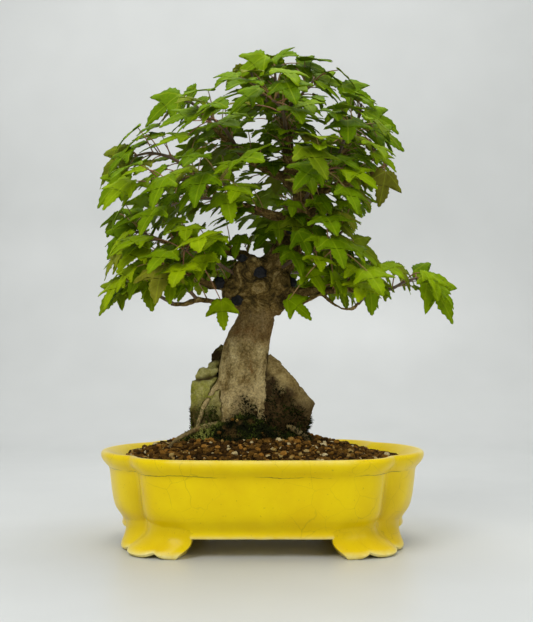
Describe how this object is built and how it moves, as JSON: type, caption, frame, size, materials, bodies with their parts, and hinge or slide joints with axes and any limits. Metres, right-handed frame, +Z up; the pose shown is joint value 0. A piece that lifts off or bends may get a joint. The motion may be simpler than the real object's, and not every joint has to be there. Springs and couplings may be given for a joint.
{
  "type": "bonsai tree in a pot",
  "caption": "Broadleaf bonsai with three-lobed toothed leaves, grown over a rock, in a lobed glazed oval pot on cloud feet.",
  "frame": {"origin": "bottom centre of the bounding box, on the surface the feet rest on", "axes": "+Z up, -Y to the front of the pot, +X to the side the tree leans to"},
  "size_m": [0.3368, 0.2678, 0.4592],
  "materials": {
    "pot_glaze": "glossy yellow glaze with fine crazing, pale where it breaks over edges",
    "screen_plastic": "matte black",
    "soil_grains": "coarse matte mineral grains in brown, tan, orange and cream",
    "bark": "rough mottled grey-brown bark",
    "rock_stone": "weathered angular stone, tan and olive with pale lichen",
    "moss": "dark green matte cushion with brighter tufts",
    "wound_paste": "dull black paste",
    "leaf": "thin satin leaf, bright yellow-green to mid green, some bronze"
  },
  "bodies": {
    "root": {"pot": "pot_glaze", "drain_screen_left": "screen_plastic", "drain_screen_right": "screen_plastic", "soil": "soil_grains", "trunk": "bark", "rock": "rock_stone", "moss": "moss", "wound_seal_1": "wound_paste", "wound_seal_2": "wound_paste", "wound_seal_3": "wound_paste", "wound_seal_4": "wound_paste", "wound_seal_5": "wound_paste", "wound_seal_6": "wound_paste", "wound_seal_7": "wound_paste", "wound_seal_8": "wound_paste", "shoot_left_low": "leaf", "shoot_left_low_front": "leaf", "shoot_left_stub": "leaf", "shoot_left_mid": "leaf", "shoot_left_up": "leaf", "shoot_left_up_low": "leaf", "shoot_upper_left": "leaf", "shoot_apex_left": "leaf", "shoot_apex": "leaf", "shoot_apex_right": "leaf", "shoot_upper_right": "leaf", "shoot_right_up": "leaf", "shoot_right_mid": "leaf", "shoot_right_low": "leaf", "shoot_right_low_up": "leaf", "shoot_right_low_down": "leaf", "shoot_front_low_left": "leaf", "shoot_front_low_right": "leaf", "shoot_front_mid_left": "leaf", "shoot_front_mid_right": "leaf", "shoot_front_top_left": "leaf", "shoot_front_top": "leaf", "shoot_front_top_right": "leaf", "shoot_back_low_left": "leaf", "shoot_back_low_right": "leaf", "shoot_back_mid": "leaf", "shoot_back_mid_left": "leaf", "shoot_back_mid_right": "leaf", "shoot_back_top_left": "leaf", "shoot_back_top": "leaf", "shoot_back_top_right": "leaf"}
  },
  "joints": []
}
